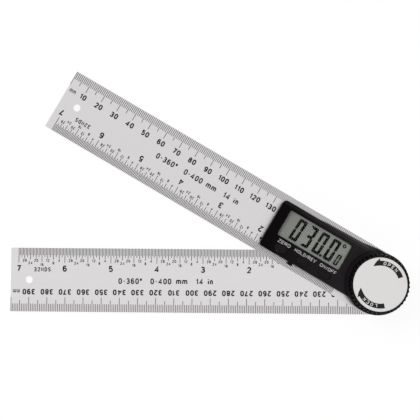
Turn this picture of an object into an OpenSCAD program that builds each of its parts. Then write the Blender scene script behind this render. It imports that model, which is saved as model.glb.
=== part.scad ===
// Digital angle finder: two steel rules pinned at their round ends, with a
// display housing, a side battery tray and a clamping knob over the pivot.
// Millimetres. The origin is on the pivot axis at the underside of the lower
// rule, +Z up. The lower rule lies along -X; the upper rule is drawn along -X
// too and then turned to the opening angle.

/* [Rules] */
// Length of each rule from the pivot axis to its square tip
arm_length = 200; // [150:1:400]
// Width of each rule
arm_width = 35; // [34.6:0.1:45]
// Thickness of each rule
arm_thickness = 1.2; // [1:0.1:2]
// Gap between the two rules
arm_gap = 0.3; // [0.2:0.05:0.6]
// Angle between the rules
opening_angle = 30; // [0:1:180]
// Diameter of the hang hole
hang_hole_d = 4; // [3:0.5:8]
// Distance from the tip to the centre of the hang hole
hang_hole_inset = 10; // [6:0.5:20]

/* [Pivot] */
// Radius of the journal that the upper rule turns on
journal_r = 6; // [5.5:0.1:6.3]
// Radius of the keyed part of the post
key_r = 5; // [4.6:0.1:5.3]
// Half the distance across the post's two flats
key_flat = 4; // [3.8:0.1:4.3]
// Radius of the threaded end of the post
thread_r = 4; // [3:0.1:4]
// Length of the threaded end
thread_length = 3.2; // [2.4:0.1:5]
// Radius of the countersunk head in the lower rule
head_r = 9; // [8.4:0.1:12]
// Thickness of that head
head_thickness = 0.7; // [0.4:0.1:0.8]
// Radius of the post's neck in the lower rule
neck_r = 7.5; // [6.6:0.1:8]
// Outer radius of the bush in the upper rule
bush_r = 8; // [7:0.1:8.6]
// Radius of the bush's flange
bush_flange_r = 9.5; // [9.3:0.1:11]
// Thickness of the bush's flange
bush_flange_t = 0.6; // [0.4:0.1:0.8]
// Radial running clearance of the bush on the journal
running_clearance = 0.04; // [0.02:0.01:0.08]
// Radial clearance of pieces that are pressed or glued in place
seat_clearance = 0.02; // [0.01:0.01:0.05]
// Radial clearance of pieces that slide over the post
slip_clearance = 0.06; // [0.04:0.01:0.1]

/* [Angle sensor] */
// Outer radius of the rotor disc
rotor_r = 14.4; // [12:0.1:14.4]
// Thickness of the rotor disc
rotor_thickness = 0.7; // [0.5:0.1:1]
// Air gap between the rotor disc and the board
rotor_air_gap = 0.5; // [0.3:0.1:0.6]
// Radius of the carrier's collar
collar_r = 7; // [6.6:0.1:7.2]
// Radius of the carrier's flange
carrier_r = 9.2; // [9:0.1:12]
// Thickness of the carrier's flange
carrier_thickness = 1.4; // [1.2:0.1:1.5]
// Width of the groove for the retaining ring
ring_thickness = 0.5; // [0.3:0.1:0.6]
// Depth of that groove
ring_groove_depth = 0.4; // [0.2:0.05:0.5]

/* [Housing] */
// Distance from the pivot axis to the square end of the housing
housing_length = 65.8; // [58:0.1:90]
// Width of the housing
housing_width = 28; // [25:0.1:30]
// Thickness of the housing's walls
wall = 1.5; // [1:0.1:1.6]
// Thickness of the housing's top
top_wall = 1.1; // [0.9:0.1:2]
// Corner radius of the square end
corner_r = 2; // [1:0.1:4]
// Radius of the ring round the pivot
hub_r = 16.9; // [16.6:0.1:17.3]
// How far the top of that ring lies below the housing's top
hub_drop = 0.7; // [0.4:0.1:1]
// Thickness of the top of that ring
hub_wall = 1.6; // [1:0.1:1.7]
// Radius of the step down to the ring
hub_step_r = 17.4; // [17:0.1:18]
// Radius of the fillets between the long walls and the ring
neck_fillet_r = 6; // [3:0.5:12]
// Width of the ledge along the metric side
ledge_width = 1.3; // [0.8:0.1:1.6]
// Height of that ledge
ledge_height = 4; // [2:0.5:6]
// Radius of the posts that take the housing screws
pillar_r = 1.7; // [1.5:0.05:1.8]
// Radius of the housing screws
screw_r = 1; // [0.7:0.05:1]
// Radius of their countersunk heads
screw_head_r = 1.9; // [1.6:0.1:2.2]
// Height of their countersunk heads
screw_head_h = 0.9; // [0.6:0.1:0.9]
// Thread length of the housing screws above the rule
screw_grip = 4; // [2:0.5:6]

/* [Display] */
// Distance from the housing's square end to the display window
window_end_margin = 5.7; // [5.5:0.1:10]
// Distance from the step round the ring to the display window
window_neck_margin = 4.3; // [4.2:0.1:10]
// Distance from the housing's metric side to the display window
window_side_margin = 3.43; // [3:0.01:6]
// Width of the lettered band between the window and the buttons
label_band = 3.87; // [3.8:0.01:6]
// Width of the lens's rim under the housing's top
lens_rim = 0.6; // [0.3:0.1:0.6]
// Thickness of that rim
lens_rim_t = 0.3; // [0.2:0.05:0.5]
// How far the lens lies below the housing's top
lens_recess = 0.3; // [0.1:0.05:0.6]
// Gap round the lens in the window
lens_clearance = 0.1; // [0.05:0.01:0.2]
// Thickness of the liquid crystal panel
lcd_thickness = 1.3; // [1.1:0.1:2]
// Height of the rubber connector strip
strip_height = 1; // [0.8:0.1:2]
// Width of the rubber connector strip
strip_width = 2; // [1.5:0.1:3]
// Width of the display frame's bars
frame_bar = 1.2; // [0.8:0.1:1.5]

/* [Buttons] */
// Length of a button
button_length = 7; // [5:0.1:8]
// Width of a button
button_width = 4; // [3:0.1:4.2]
// How far the row of buttons ends inside the window's two ends
button_row_inset = 2.05; // [2:0.05:4]
// Distance from the buttons to the housing's inch side
button_margin = 1.7; // [1.7:0.05:2]
// How far a button stands out of the housing
button_proud = 0.3; // [0.2:0.05:0.6]
// Gap round a button
button_clearance = 0.15; // [0.1:0.01:0.25]
// Travel of a button
button_travel = 0.4; // [0.2:0.05:0.4]
// Extra length at each end of a button's inner flange
button_flange_extra = 1; // [0.6:0.1:1.2]
// Thickness of a button's inner flange
button_flange_t = 0.8; // [0.5:0.1:0.9]
// Radius of a button's stem
stem_r = 1.2; // [0.8:0.1:1.5]

/* [Circuit board] */
// Thickness of the circuit board
board_thickness = 0.8; // [0.6:0.1:1]
// Gap between the board and the housing's walls
board_clearance = 0.4; // [0.35:0.05:0.6]
// Radius of the board's hole round the post
board_hole_r = 7.6; // [7.5:0.1:7.8]
// Radius of the board screws
board_screw_r = 0.6; // [0.5:0.05:0.7]
// Radius of their heads
board_screw_head_r = 1.2; // [1:0.05:1.2]
// Height of their heads
board_screw_head_h = 0.7; // [0.5:0.1:0.8]
// Height of the snap domes
dome_height = 0.3; // [0.2:0.05:0.4]
// Radius of the snap domes
dome_r = 2; // [1.5:0.1:2.4]

/* [Battery] */
// Diameter of the coin cell
cell_d = 20; // [16:0.1:20.2]
// Thickness of the coin cell
cell_thickness = 3.2; // [2.5:0.1:4]
// Distance from the pivot axis to the middle of the battery tray
tray_from_pivot = 35.7; // [35.4:0.1:36]
// Thickness of the tray's outer wall
tray_wall = 1.2; // [0.8:0.1:1.5]
// Thickness of the tray's floor
tray_floor = 0.3; // [0.2:0.05:0.5]
// Width of the tray's side bars beside the cell
tray_bar = 1.8; // [1:0.1:2]
// How far the tray's outer face reaches above the cell
tray_lip = 0.3; // [0.2:0.05:0.5]
// How far the tray's outer face is set in from the housing's wall
tray_inset = 0.4; // [0.2:0.1:0.6]
// How far the pull tab stands out of the housing's wall
tab_reach = 1.4; // [1:0.1:2.5]
// Width of the pull tab
tab_width = 2.9; // [2:0.1:4]
// Height of the pull tab
tab_height = 1.6; // [1:0.1:2.6]
// Gap between the tray and what guides it
tray_clearance = 0.15; // [0.1:0.01:0.2]
// Thickness of the battery contacts
contact_thickness = 0.2; // [0.1:0.05:0.25]

/* [Knob] */
// Outer radius of the knob over its ribs
knob_r = 16.1; // [15.4:0.1:16.5]
// Number of ribs round the knob
rib_count = 40; // [24:1:60]
// Depth of the ribs
rib_depth = 0.7; // [0.4:0.1:0.9]
// Gap between the knob and the ring below it
knob_gap = 0.3; // [0.3:0.05:0.6]
// Thickness of the knob's top
knob_top = 1.2; // [0.8:0.1:2]
// Wall thickness of the knob's skirt
knob_wall = 1.6; // [1.2:0.1:2.5]
// Radius of the sleeve round the threaded insert
sleeve_r = 9; // [8.5:0.1:10]
// Outer radius of the threaded insert
insert_r = 6.5; // [5.5:0.1:7]
// Radius of the label
label_r = 14.35; // [12:0.05:14.4]
// Thickness of the label
label_thickness = 0.3; // [0.2:0.05:0.5]
// Depth of the label's recess
label_recess = 0.4; // [0.3:0.05:0.6]
// Radius of the thrust washer
thrust_r = 9; // [8:0.1:10]
// Thickness of the thrust washer
thrust_thickness = 0.8; // [0.6:0.1:1.2]

/* [Hidden] */

$fn = 96;
// How far a cutting shape runs past the surface that it cuts
cut = 1;

// Heights of the rules
upper_z = arm_thickness + arm_gap;
deck_z = upper_z + arm_thickness;

// Heights of the stack between the upper rule and the housing's top
tray_z = deck_z + 0.1;
cell_z = tray_z + tray_floor;
cell_top_z = cell_z + cell_thickness;
board_z = cell_top_z + contact_thickness;
board_top_z = board_z + board_thickness;
lcd_z = board_top_z + strip_height;
lens_z = lcd_z + lcd_thickness;
ceiling_z = lens_z + lens_rim_t;
housing_z = ceiling_z + top_wall;
hub_top_z = housing_z - hub_drop;
hub_ceiling_z = hub_top_z - hub_wall;

// Heights of the angle sensor, counted down from the board
rotor_top_z = board_z - rotor_air_gap;
rotor_z = rotor_top_z - rotor_thickness;
carrier_z = rotor_z - carrier_thickness;
bush_top_z = deck_z + bush_flange_t;

// Heights of the clamping knob
thrust_top_z = hub_top_z + thrust_thickness;
// The flats end a little below the washer's top, so the insert seats on it
flats_top_z = thrust_top_z - 0.1;
post_top_z = thrust_top_z + thread_length;
knob_z = hub_top_z + knob_gap;
knob_ceiling_z = post_top_z + 0.1;
label_z = knob_ceiling_z + knob_top;
knob_rim_z = label_z + label_recess;

// Plan of the housing
half_width = housing_width / 2;
inner_half = half_width - wall;
inner_end = housing_length - wall;
inner_hub_r = hub_r - wall;

// Places of the housing screws: two in the end corners, whose posts run into
// both walls there, and two that stand free in the neck
pillar_sink = 0.3;
end_pillar_x = inner_end - pillar_r + pillar_sink;
end_pillar_y = inner_half - pillar_r + pillar_sink;
neck_pillar_x = hub_step_r + pillar_r + 0.1;
neck_pillar_y = inner_half - pillar_r - 0.4;
pillar_places = [
    [-end_pillar_x, end_pillar_y],
    [-end_pillar_x, -end_pillar_y],
    [-neck_pillar_x, neck_pillar_y],
    [-neck_pillar_x, -neck_pillar_y]
];

// Size and place of the display: what the margins leave of the housing
window_length = housing_length - window_end_margin - hub_step_r - window_neck_margin;
window_width = housing_width - window_side_margin - label_band - button_width - button_margin;
window_x = -(hub_step_r + window_neck_margin + window_length / 2);
window_offset = half_width - window_side_margin - window_width / 2;
lens_length = window_length - 2 * lens_clearance;
lens_width = window_width - 2 * lens_clearance;
panel_length = window_length + 2 * lens_rim;
panel_width = window_width + 2 * lens_rim;
panel_edge_y = window_offset - panel_width / 2;

// Places of the buttons
button_pitch = (window_length - button_length) / 2 - button_row_inset;
button_offset = half_width - button_margin - button_width / 2;
button_places = [for (i = [-1, 0, 1]) window_x + i * button_pitch];

// Places of the battery
tray_x = -tray_from_pivot;
tray_front_y = -(half_width - tray_inset);
tray_inner_y = tray_front_y + tray_wall;
cell_r = cell_d / 2;
cell_gap = 0.1;
cell_y = tray_inner_y + cell_gap + cell_r;
tray_length = cell_r + cell_gap - 2;
tray_half = cell_r + cell_gap + tray_bar;
tray_top_z = cell_top_z - 0.6;
face_top_z = cell_top_z + tray_lip;
rail = 0.8;
rail_end_y = cell_y + cell_r + 0.7;
rail_end_x = tray_x - tray_half - tray_clearance - rail;

// Places of the board screws: one beside each end of the tray, between the
// buttons and the panel, and one outside the rotor disc
board_screw_gap = 0.25;
board_screw_y = (panel_edge_y - button_offset + button_width / 2) / 2;
rotor_screw_x = rotor_r + board_screw_head_r + 0.8;
board_screw_places = [
    [rail_end_x - board_screw_head_r - board_screw_gap, board_screw_y],
    [-(neck_pillar_x + pillar_r + 0.3), board_screw_y],
    [-rotor_screw_x, 4]
];

// Places of the small parts on the board's far end: centred between the end
// wall and the head of the board screw there
socket_length = 5;
socket_screw_gap = 0.1;
chip_size = 1.2;
chip_pitch = 2.6;
chip_count = 3;
chip_screw_overhang = 1.3;
screw_head_end_x = -board_screw_places[0].x + board_screw_head_r;
socket_x = -(inner_end + screw_head_end_x + socket_screw_gap) / 2;
chip_row_x = -(inner_end + screw_head_end_x - chip_screw_overhang) / 2;

// A bar with round ends along X, centred on the origin
module stadium(length, width) {
    square([length - width, width], center = true);
    for (side = [-1, 1])
        translate([side * (length - width) / 2, 0]) circle(d = width);
}

// A rectangle from one corner to another, with the two corners at low X rounded
module end_rounded(x0, x1, half, r) {
    translate([x0 + r, -half]) square([x1 - x0 - r, 2 * half]);
    translate([x0, -half + r]) square([r + cut, 2 * (half - r)]);
    for (side = [-1, 1])
        translate([x0 + r, side * (half - r)]) circle(r = r);
}

// A round hole with two flats, or the shape that fills it
module double_flat(r, flat) {
    intersection() {
        circle(r = r);
        square([2 * r + cut, 2 * flat], center = true);
    }
}

// Outline of one rule, with its round end at the origin
module rule_outline() {
    circle(d = arm_width);
    translate([-arm_length, -arm_width / 2]) square([arm_length, arm_width]);
}

// One rule blank with its hang hole
module rule_blank(z) {
    translate([0, 0, z])
        difference() {
            linear_extrude(arm_thickness) rule_outline();
            translate([hang_hole_inset - arm_length, 0, -cut])
                cylinder(d = hang_hole_d, h = arm_thickness + 2 * cut);
        }
}

// Turns a piece of the upper rule to the opening angle
module opened() {
    rotate([0, 0, -opening_angle]) children();
}

// ---- Pieces on the lower rule ----

module lower_arm() {
    color([0.8, 0.8, 0.8])
    difference() {
        rule_blank(0);
        translate([0, 0, -cut])
            cylinder(r = neck_r + seat_clearance, h = arm_thickness + 2 * cut);
        translate([0, 0, -cut])
            cylinder(r = head_r + seat_clearance, h = head_thickness + cut);
    }
}

// Head and neck in the lower rule, journal, keyed part and threaded end
module pivot_post() {
    color([0.7, 0.7, 0.7])
    difference() {
        union() {
            cylinder(r = head_r, h = head_thickness);
            cylinder(r = neck_r, h = arm_thickness);
            cylinder(r = journal_r, h = carrier_z);
            linear_extrude(flats_top_z) double_flat(key_r, key_flat);
            cylinder(r = thread_r, h = post_top_z);
        }
        translate([0, 0, rotor_top_z])
            difference() {
                cylinder(r = journal_r, h = ring_thickness + 0.02);
                translate([0, 0, -cut])
                    cylinder(r = key_r - ring_groove_depth, h = ring_thickness + 2 * cut);
            }
    }
}

module gap_washer() {
    color([0.9, 0.9, 0.85])
    translate([0, 0, arm_thickness])
        difference() {
            cylinder(r = head_r, h = arm_gap);
            translate([0, 0, -cut])
                cylinder(r = journal_r + slip_clearance, h = arm_gap + 2 * cut);
        }
}

// A shallow cone that presses the bush down from under the carrier
module disc_spring() {
    rim = 0.2;
    color([0.6, 0.6, 0.62])
    rotate_extrude()
        polygon([
            [journal_r + 0.3, carrier_z],
            [journal_r + 0.3, carrier_z - rim],
            [carrier_r, bush_top_z],
            [carrier_r, bush_top_z + rim]
        ]);
}

module rotor_carrier() {
    color([0.75, 0.6, 0.3])
    difference() {
        union() {
            translate([0, 0, carrier_z])
                cylinder(r = carrier_r, h = carrier_thickness);
            translate([0, 0, carrier_z])
                cylinder(r = collar_r, h = rotor_top_z - carrier_z);
        }
        translate([0, 0, carrier_z - cut])
            linear_extrude(rotor_top_z - carrier_z + 2 * cut)
                double_flat(key_r + seat_clearance, key_flat + seat_clearance);
    }
}

module rotor_disc() {
    color([0.1, 0.35, 0.2])
    translate([0, 0, rotor_z])
        difference() {
            cylinder(r = rotor_r, h = rotor_thickness);
            translate([0, 0, -cut])
                cylinder(r = collar_r + seat_clearance, h = rotor_thickness + 2 * cut);
        }
}

// An open ring that snaps into the post's groove
module retaining_ring() {
    inner_r = key_r - ring_groove_depth + seat_clearance;
    color([0.3, 0.3, 0.32])
    translate([0, 0, rotor_top_z])
        difference() {
            cylinder(r = collar_r, h = ring_thickness);
            translate([0, 0, -cut]) cylinder(r = inner_r, h = ring_thickness + 2 * cut);
            translate([0, -inner_r / 2, -cut])
                cube([collar_r + cut, inner_r, ring_thickness + 2 * cut]);
        }
}

// ---- Pieces on the upper rule ----

module upper_arm() {
    color([0.82, 0.82, 0.82])
    opened()
        difference() {
            rule_blank(upper_z);
            translate([0, 0, upper_z - cut])
                cylinder(r = bush_r + seat_clearance, h = arm_thickness + 2 * cut);
            for (place = pillar_places)
                translate([place.x, place.y, upper_z]) {
                    translate([0, 0, -cut])
                        cylinder(r = screw_r + 0.05, h = arm_thickness + 2 * cut);
                    cylinder(r1 = screw_head_r + 0.05, r2 = screw_r + 0.05, h = screw_head_h);
                }
        }
}

module hub_bush() {
    color([0.8, 0.62, 0.3])
    difference() {
        union() {
            translate([0, 0, upper_z]) cylinder(r = bush_r, h = arm_thickness);
            translate([0, 0, deck_z]) cylinder(r = bush_flange_r, h = bush_flange_t);
        }
        translate([0, 0, upper_z - cut])
            cylinder(r = journal_r + running_clearance, h = bush_top_z - upper_z + 2 * cut);
    }
}

// Fillet between the long wall at y = side * half and the ring round the pivot
module neck_fillet(side, half, r) {
    centre_y = half + r;
    centre_x = -sqrt((hub_r + r) * (hub_r + r) - centre_y * centre_y);
    touch = hub_r / (hub_r + r);
    scale([1, side])
        difference() {
            polygon([
                [centre_x, half - cut],
                [centre_x, half],
                [centre_x * touch, centre_y * touch],
                [0, half - cut]
            ]);
            translate([centre_x, centre_y]) circle(r = r);
        }
}

module housing_outline() {
    end_rounded(-housing_length, 0, half_width, corner_r);
    circle(r = hub_r);
    for (side = [-1, 1]) neck_fillet(side, half_width, neck_fillet_r);
}

// Low ledge along the metric side that widens into the ring
module housing_ledge() {
    start_x = -housing_length * 0.7;
    end_x = -hub_r * 0.5;
    linear_extrude(ledge_height)
        polygon([
            [start_x, half_width - cut],
            [start_x, half_width],
            [start_x + 6, half_width + ledge_width * 0.6],
            [-hub_step_r, half_width + ledge_width],
            [end_x, hub_r - 0.3],
            [0, hub_r - 0.3],
            [0, half_width - cut]
        ]);
}

// What the housing is hollowed by, below its top
module housing_hollow() {
    ceiling_end_x = -(hub_step_r + wall);
    translate([0, 0, deck_z - cut]) {
        linear_extrude(ceiling_z - deck_z + cut)
            translate([-inner_end, -inner_half])
                square([inner_end + ceiling_end_x, 2 * inner_half]);
        linear_extrude(hub_ceiling_z - deck_z + cut) {
            translate([-inner_end, -inner_half])
                square([inner_end, 2 * inner_half]);
            circle(r = inner_hub_r);
        }
    }
}

module housing_openings() {
    // Window
    translate([window_x, window_offset, ceiling_z - cut])
        linear_extrude(top_wall + 2 * cut)
            square([window_length, window_width], center = true);
    // Buttons
    for (x = button_places)
        translate([x, -button_offset, ceiling_z - cut])
            linear_extrude(top_wall + 2 * cut)
                stadium(button_length + 2 * button_clearance,
                        button_width + 2 * button_clearance);
    // Post
    translate([0, 0, hub_ceiling_z - cut])
        cylinder(r = key_r + 0.6, h = hub_wall + 2 * cut);
    // Step down to the ring
    translate([0, 0, hub_top_z])
        cylinder(r1 = hub_step_r, r2 = hub_step_r + hub_drop + cut, h = hub_drop + cut);
    // Battery tray
    translate([tray_x - tray_half - tray_clearance, -half_width - cut, deck_z - cut])
        cube([2 * (tray_half + tray_clearance), wall + 2 * cut,
              face_top_z + tray_clearance - deck_z + cut]);
}

// Posts for the housing screws and board screws, and rails beside the tray
module housing_ribs() {
    for (place = pillar_places)
        translate([place.x, place.y, deck_z])
            cylinder(r = pillar_r, h = ceiling_z - deck_z + 0.2);
    for (place = board_screw_places)
        translate([place.x, place.y, board_top_z])
            cylinder(r = board_screw_head_r, h = ceiling_z - board_top_z + 0.2);
    rail_inner = tray_half + tray_clearance;
    rail_start_y = -inner_half - 0.2;
    difference() {
        translate([tray_x - rail_inner - rail, rail_start_y, deck_z])
            cube([2 * (rail_inner + rail), rail_end_y + rail - rail_start_y,
                  tray_top_z - deck_z]);
        translate([tray_x - rail_inner, rail_start_y - cut, deck_z - cut])
            cube([2 * rail_inner, rail_end_y - rail_start_y + cut,
                  tray_top_z - deck_z + 2 * cut]);
    }
}

module housing() {
    color([0.12, 0.12, 0.13])
    opened()
        difference() {
            union() {
                difference() {
                    union() {
                        translate([0, 0, deck_z])
                            linear_extrude(housing_z - deck_z) housing_outline();
                        translate([0, 0, deck_z]) housing_ledge();
                    }
                    housing_hollow();
                    housing_openings();
                }
                housing_ribs();
            }
            for (place = pillar_places)
                translate([place.x, place.y, deck_z - cut])
                    cylinder(r = screw_r + seat_clearance, h = screw_grip + cut + 0.3);
            for (place = board_screw_places)
                translate([place.x, place.y, board_top_z - cut])
                    cylinder(r = board_screw_r + seat_clearance, h = cut + 1.4);
        }
}

// Four countersunk screws that hold the housing from under the upper rule
module housing_screws() {
    color([0.75, 0.75, 0.77])
    opened()
        for (place = pillar_places)
            translate([place.x, place.y, upper_z])
                difference() {
                    union() {
                        cylinder(r1 = screw_head_r, r2 = screw_r, h = screw_head_h);
                        cylinder(r = screw_r, h = arm_thickness + screw_grip);
                    }
                    // Crossed slots
                    for (turn = [0, 90])
                        rotate([0, 0, turn])
                            cube([1.8, 0.4, 0.6], center = true);
                }
}

module display_lens() {
    color([0.75, 0.8, 0.8, 0.4])
    opened()
        translate([window_x, window_offset, lens_z]) {
            linear_extrude(lens_rim_t) square([panel_length, panel_width], center = true);
            linear_extrude(housing_z - lens_recess - lens_z)
                square([lens_length, lens_width], center = true);
        }
}

module lcd_panel() {
    color([0.52, 0.54, 0.5])
    opened()
        translate([window_x, window_offset, lcd_z])
            linear_extrude(lcd_thickness)
                square([panel_length, panel_width], center = true);
}

// Frame that carries the panel's edges over the board
module lcd_frame() {
    color([0.9, 0.9, 0.88])
    opened()
        translate([window_x, window_offset, board_top_z])
            linear_extrude(strip_height)
                difference() {
                    square([panel_length, panel_width], center = true);
                    square([panel_length - 2 * frame_bar, panel_width - 2 * frame_bar],
                           center = true);
                }
}

module zebra_strip() {
    strip_length = panel_length - 2 * frame_bar - 0.6;
    color([0.85, 0.45, 0.55])
    opened()
        translate([window_x - strip_length / 2, panel_edge_y + frame_bar + 0.1, board_top_z])
            cube([strip_length, strip_width, strip_height]);
}

module circuit_board() {
    board_half = inner_half - board_clearance;
    board_end = inner_end - board_clearance;
    color([0.1, 0.35, 0.2])
    opened()
        translate([0, 0, board_z])
            difference() {
                linear_extrude(board_thickness) {
                    translate([-board_end, -board_half])
                        square([board_end, 2 * board_half]);
                    circle(r = inner_hub_r - board_clearance);
                }
                translate([0, 0, -cut])
                    cylinder(r = board_hole_r, h = board_thickness + 2 * cut);
                for (place = pillar_places)
                    translate([place.x, place.y, -cut])
                        cylinder(r = pillar_r + 0.3, h = board_thickness + 2 * cut);
                for (place = board_screw_places)
                    translate([place.x, place.y, -cut])
                        cylinder(r = board_screw_r + 0.1, h = board_thickness + 2 * cut);
            }
}

// Three pan-head screws that hold the board up against its posts
module board_screws() {
    color([0.7, 0.7, 0.72])
    opened()
        for (place = board_screw_places)
            translate([place.x, place.y, board_z - board_screw_head_h]) {
                cylinder(r = board_screw_head_r, h = board_screw_head_h);
                cylinder(r = board_screw_r, h = board_screw_head_h + board_thickness + 1);
            }
}

// Moulded cover over the bare chip, under the board between the tray and the end
module chip_cover() {
    height = 1.2;
    color([0.06, 0.06, 0.07])
    opened()
        translate([(rail_end_x - inner_end) / 2, 3, board_z - height])
            cylinder(r1 = 3.2, r2 = 4.4, h = height);
}

// Small parts under the board: capacitors, a resistor pair and a crystal
module board_components() {
    neck_x = -(neck_pillar_x + pillar_r);
    color([0.55, 0.45, 0.3])
    opened()
        translate([0, 0, board_z]) {
            for (i = [0 : chip_count - 1])
                translate([chip_row_x + (i - (chip_count - 1) / 2) * chip_pitch
                           - chip_size / 2, -4.5, -0.8])
                    cube([chip_size, 2, 0.8]);
            for (i = [0 : 1])
                translate([neck_x, -2 - 2.6 * i, -0.6]) cube([2, 1.2, 0.6]);
            translate([socket_x - socket_length / 2, -8.8, -1.4])
                cube([socket_length, 2, 1.4]);
        }
}

module dome_contacts() {
    color([0.8, 0.75, 0.6])
    opened()
        for (x = button_places)
            translate([x, -button_offset, board_top_z])
                cylinder(r1 = dome_r, r2 = dome_r * 0.6, h = dome_height);
}

// Strip that hangs from the board and touches the rim of the cell
module battery_contact_positive() {
    color([0.8, 0.8, 0.78])
    opened()
        translate([tray_x - 2.5, cell_y + cell_r + 0.1, cell_z + 0.5])
            cube([5, contact_thickness, board_z - cell_z - 0.5]);
}

// Pad under the board that the cell's top slides against
module battery_contact_negative() {
    color([0.8, 0.8, 0.78])
    opened()
        translate([tray_x, cell_y, cell_top_z])
            cylinder(r = 3, h = contact_thickness);
}

// ---- Buttons ----

// One button: an oval cap, a flange that keeps it in, and a stem over its dome
module button(x) {
    stem_z = board_top_z + dome_height + button_travel;
    flange_z = ceiling_z - 0.1 - button_flange_t;
    color([0.05, 0.05, 0.05])
    opened()
        translate([x, -button_offset, 0]) {
            translate([0, 0, flange_z])
                linear_extrude(housing_z + button_proud - flange_z)
                    stadium(button_length, button_width);
            translate([0, 0, flange_z])
                linear_extrude(button_flange_t)
                    stadium(button_length + 2 * button_flange_extra, button_width);
            translate([0, 0, stem_z])
                cylinder(r = stem_r, h = flange_z - stem_z + 0.2);
        }
}

module zero_button() { button(button_places[0]); }
module hold_button() { button(button_places[1]); }
module power_button() { button(button_places[2]); }

// ---- Battery tray ----

module battery_tray() {
    body_length = cell_y + tray_length - tray_front_y;
    color([0.1, 0.1, 0.11])
    opened()
        translate([tray_x, 0, tray_z]) {
            difference() {
                union() {
                    // Outer wall
                    translate([-tray_half, tray_front_y, 0])
                        cube([2 * tray_half, tray_wall, face_top_z - tray_z]);
                    // Bars and floor round the cell
                    translate([-tray_half, tray_front_y, 0])
                        cube([2 * tray_half, body_length, tray_top_z - tray_z]);
                }
                // Cell pocket
                translate([0, cell_y, tray_floor])
                    cylinder(r = cell_r + cell_gap, h = cell_thickness + cut);
                // Hole in the floor
                translate([0, cell_y, -cut])
                    cylinder(r = cell_r - 2, h = tray_floor + 2 * cut);
            }
            // Pull tab
            translate([-tray_half + 0.7, -half_width - tab_reach, 0.4])
                cube([tab_width, tab_reach + tray_inset + 0.2, tab_height]);
        }
}

module coin_cell() {
    step = 0.3;
    color([0.85, 0.85, 0.83])
    opened()
        translate([tray_x, cell_y, cell_z]) {
            cylinder(r = cell_r, h = cell_thickness - step);
            cylinder(r = cell_r - 1.2, h = cell_thickness);
        }
}

// ---- Clamping knob ----

module thrust_washer() {
    color([0.78, 0.78, 0.8])
    translate([0, 0, hub_top_z])
        linear_extrude(thrust_thickness)
            difference() {
                circle(r = thrust_r);
                double_flat(key_r + slip_clearance, key_flat + slip_clearance);
            }
}

module knob_insert() {
    color([0.8, 0.62, 0.3])
    translate([0, 0, thrust_top_z])
        difference() {
            cylinder(r = insert_r, h = thread_length);
            translate([0, 0, -cut])
                cylinder(r = thread_r + 0.03, h = thread_length + 2 * cut);
        }
}

// Ribbed outline of the knob: each rib has a flat crest and sloping flanks
module ribbed_outline() {
    pitch = 360 / rib_count;
    root_r = knob_r - rib_depth;
    polygon([
        for (i = [0 : rib_count - 1])
            for (corner = [[0.1, root_r], [0.32, knob_r], [0.68, knob_r], [0.9, root_r]])
                let (angle = (i + corner[0]) * pitch)
                    corner[1] * [cos(angle), sin(angle)]
    ]);
}

module knob() {
    skirt_r = knob_r - rib_depth - knob_wall;
    sleeve_z = thrust_top_z + 0.2;
    color([0.1, 0.1, 0.11])
    difference() {
        translate([0, 0, knob_z])
            linear_extrude(knob_rim_z - knob_z) ribbed_outline();
        // Room round the sleeve
        translate([0, 0, knob_z - cut])
            difference() {
                cylinder(r = skirt_r, h = knob_ceiling_z - knob_z + cut);
                cylinder(r = sleeve_r, h = knob_ceiling_z - knob_z + 2 * cut);
            }
        // Room over the thrust washer
        translate([0, 0, knob_z - cut])
            cylinder(r = skirt_r, h = sleeve_z - knob_z + cut);
        // Seat of the insert
        translate([0, 0, knob_z])
            cylinder(r = insert_r + seat_clearance, h = knob_ceiling_z - knob_z);
        // Recess of the label
        translate([0, 0, label_z])
            cylinder(r = label_r + 0.05, h = label_recess + cut);
    }
}

module knob_label() {
    color([0.86, 0.86, 0.85])
    translate([0, 0, label_z]) cylinder(r = label_r, h = label_thickness);
}

lower_arm();
pivot_post();
gap_washer();
disc_spring();
rotor_carrier();
rotor_disc();
retaining_ring();
upper_arm();
hub_bush();
housing();
housing_screws();
display_lens();
lcd_panel();
lcd_frame();
zebra_strip();
circuit_board();
board_screws();
chip_cover();
board_components();
dome_contacts();
battery_contact_positive();
battery_contact_negative();
zero_button();
hold_button();
power_button();
battery_tray();
coin_cell();
thrust_washer();
knob_insert();
knob();
knob_label();
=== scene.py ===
"""Looks of the angle finder with arms: finishes, printed marks and rounded mouldings."""
import math
import bmesh
import bpy
import numpy as np
from mathutils import Matrix, Vector


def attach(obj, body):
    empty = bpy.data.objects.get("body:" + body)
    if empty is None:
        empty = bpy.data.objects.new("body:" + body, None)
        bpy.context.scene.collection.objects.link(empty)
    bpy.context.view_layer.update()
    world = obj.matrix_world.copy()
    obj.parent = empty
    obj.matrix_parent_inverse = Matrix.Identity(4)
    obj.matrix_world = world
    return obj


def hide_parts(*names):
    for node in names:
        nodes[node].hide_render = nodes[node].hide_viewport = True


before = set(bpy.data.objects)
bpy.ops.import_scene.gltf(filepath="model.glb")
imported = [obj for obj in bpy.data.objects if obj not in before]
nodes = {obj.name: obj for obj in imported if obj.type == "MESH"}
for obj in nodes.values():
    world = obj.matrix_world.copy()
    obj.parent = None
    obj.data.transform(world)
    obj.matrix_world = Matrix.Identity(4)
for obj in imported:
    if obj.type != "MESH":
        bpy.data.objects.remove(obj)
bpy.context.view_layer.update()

MM = 0.001
OPENING = math.radians(-30.0)      # the upper rule is turned this far about the pivot

# Sizes are in mm and in a rule's own directions: x runs along it, and the pivot is at 0
LOWER_FACE = 1.2                   # top of the lower rule
DECK = 2.7                         # top of the upper rule
HOUSING_TOP = 11.0
RULE_HALF = 17.5                   # half of a rule's width
RULE_LENGTH = 200                  # from the pivot to its square end
INCH = 25.4

# ---------------------------------------------------------------- meshes


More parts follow.
